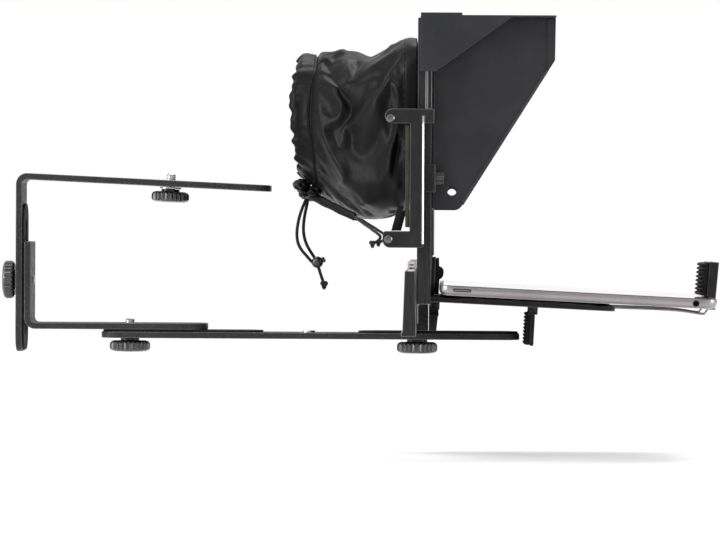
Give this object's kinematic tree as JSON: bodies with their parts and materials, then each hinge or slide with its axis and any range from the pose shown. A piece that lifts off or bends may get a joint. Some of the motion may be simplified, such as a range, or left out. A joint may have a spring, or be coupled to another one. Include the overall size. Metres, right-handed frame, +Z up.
{
  "type": "teleprompter",
  "caption": "Teleprompter rig: slotted base bar, stepped camera bracket, fabric lens sleeve, upright frame with tilting beam-splitter glass and hood, and a sprung tray holding a tablet.",
  "frame": {"origin": "centre of the tripod thread in the underside of the base bar", "axes": "+X along the base bar from the camera end to the tablet end, +Y across, +Z up"},
  "size_m": [0.4532, 0.2404, 0.2114],
  "materials": {
    "plate_steel": "satin black powder coat",
    "friction_rubber": "matt moulded rubber",
    "bright_steel": "zinc-plated steel",
    "screw_steel": "polished screw head",
    "knob_plastic": "ridged black plastic",
    "post_metal": "brushed black anodised",
    "bracket_plastic": "fine-grained black plastic",
    "batten": "grey-brown plastic strip",
    "hood_sheet": "folded dark grey sheet",
    "sleeve_fabric": "black satin cloth",
    "cord": "braided black cord",
    "coated_glass": "beam-splitter coated glass",
    "tablet_shell": "silver anodised",
    "tablet_glass": "black glass front"
  },
  "bodies": {
    "base": {"base_bar": "plate_steel", "rear_pad": "friction_rubber", "front_pad": "friction_rubber", "tripod_insert": "bright_steel"},
    "rear_carriage": {"riser_bracket": "plate_steel"},
    "rear_screw": {"rear_thumbscrew": "knob_plastic"},
    "camera_shelf": {"camera_bracket": "plate_steel", "leg_pad": "friction_rubber"},
    "leg_screw": {"leg_thumbscrew": "knob_plastic"},
    "camera_slider": {"camera_washer": "bright_steel"},
    "camera_screw": {"camera_thumbscrew": "knob_plastic"},
    "mast": {"mast_foot": "plate_steel", "cross_beam": "post_metal", "post_left": "post_metal", "post_right": "post_metal", "top_rail": "post_metal", "mid_rail": "post_metal", "lower_flap": "hood_sheet", "arm_bracket_left": "bracket_plastic", "arm_bracket_right": "bracket_plastic", "arm_screw_upper_left": "screw_steel", "arm_screw_upper_right": "screw_steel", "arm_screw_lower_left": "screw_steel", "arm_screw_lower_right": "screw_steel", "sleeve_batten_left": "batten", "sleeve_batten_right": "batten", "hinge_block_left": "bracket_plastic", "hinge_block_right": "bracket_plastic", "lens_sleeve": "sleeve_fabric", "drawstring_rear": "cord", "drawstring_front": "cord", "drawstring_tail": "cord", "cord_lock": "bracket_plastic", "elastic_cord_left": "cord", "elastic_cord_right": "cord", "arm_strap_left": "sleeve_fabric", "arm_strap_right": "sleeve_fabric", "tray_upright": "bracket_plastic"},
    "front_screw": {"front_thumbscrew": "knob_plastic"},
    "glass": {"glass_frame": "bracket_plastic", "beam_splitter_glass": "coated_glass"},
    "lock_nut_left": {"glass_lock_nut_left": "knob_plastic"},
    "lock_nut_right": {"glass_lock_nut_right": "knob_plastic"},
    "hood": {"hood_side_left": "hood_sheet", "hood_side_right": "hood_sheet", "hood_top": "hood_sheet"},
    "tray": {"tray_plate": "bracket_plastic", "tray_pad": "friction_rubber", "fixed_jaw": "bracket_plastic", "fixed_jaw_rubber": "friction_rubber"},
    "sprung_jaw": {"far_jaw": "bracket_plastic", "far_jaw_rubber": "friction_rubber", "wire_rod_left": "bright_steel", "wire_rod_right": "bright_steel"},
    "folded_jaw": {"folding_jaw": "bracket_plastic", "folding_jaw_rubber": "friction_rubber"},
    "tablet": {"tablet_body": "tablet_shell", "tablet_screen": "tablet_glass"}
  },
  "joints": [
    {"name": "rear_slide", "type": "slide", "parent": "base", "child": "rear_carriage", "axis": [1, 0, 0], "range_m": [-0.0045, 0.01]},
    {"name": "rear_screw_turn", "type": "hinge", "parent": "rear_carriage", "child": "rear_screw", "pos_m": [-0.1139, 0, -0.005], "axis": [0, 0, 1], "continuous": true},
    {"name": "camera_lift", "type": "slide", "parent": "rear_carriage", "child": "camera_shelf", "axis": [0, 0, 1], "range_m": [-0.034, 0.031]},
    {"name": "leg_screw_turn", "type": "hinge", "parent": "rear_carriage", "child": "leg_screw", "pos_m": [-0.19, 0, 0.0366], "axis": [1, 0, 0], "continuous": true},
    {"name": "camera_screw_slide", "type": "slide", "parent": "camera_shelf", "child": "camera_slider", "axis": [0.999, 0, -0.0454], "range_m": [-0.062, 0.048]},
    {"name": "camera_screw_turn", "type": "hinge", "parent": "camera_slider", "child": "camera_screw", "pos_m": [-0.08849, 0, 0.09311], "axis": [0.0454, 0, 0.999], "continuous": true},
    {"name": "mast_slide", "type": "slide", "parent": "base", "child": "mast", "axis": [1, 0, 0], "range_m": [-0.001, 0.048]},
    {"name": "front_screw_turn", "type": "hinge", "parent": "mast", "child": "front_screw", "pos_m": [0.069, 0, -0.005], "axis": [0, 0, 1], "continuous": true},
    {"name": "glass_tilt", "type": "hinge", "parent": "mast", "child": "glass", "pos_m": [0.0748, 0, 0.101], "axis": [0, -1, 0], "range_deg": [-20, 40]},
    {"name": "lock_nut_left_turn", "type": "hinge", "parent": "mast", "child": "lock_nut_left", "pos_m": [0.0832, -0.1006, 0.101], "axis": [1, 0, 0], "continuous": true},
    {"name": "lock_nut_right_turn", "type": "hinge", "parent": "mast", "child": "lock_nut_right", "pos_m": [0.0832, 0.1006, 0.101], "axis": [1, 0, 0], "continuous": true},
    {"name": "hood_lift_off", "type": "slide", "parent": "mast", "child": "hood", "axis": [0, 0, 1], "range_m": [0, 0.13]},
    {"name": "tray_tilt", "type": "hinge", "parent": "mast", "child": "tray", "pos_m": [0.08, 0, 0.022], "axis": [0, -1, 0], "range_deg": [0, 15]},
    {"name": "jaw_spring", "type": "slide", "parent": "tray", "child": "sprung_jaw", "axis": [0.9989, 0, -0.0471], "range_m": [0, 0.02], "stiffness_N_per_m": 150, "springref_m": -0.02},
    {"name": "folding_jaw_hinge", "type": "hinge", "parent": "tray", "child": "folded_jaw", "pos_m": [0.14222, 0, 0.01877], "axis": [0, -1, 0], "range_deg": [0, 90]},
    {"name": "tablet_out", "type": "slide", "parent": "tray", "child": "tablet", "axis": [0, -1, 0], "range_m": [0, 0.25]}
  ]
}
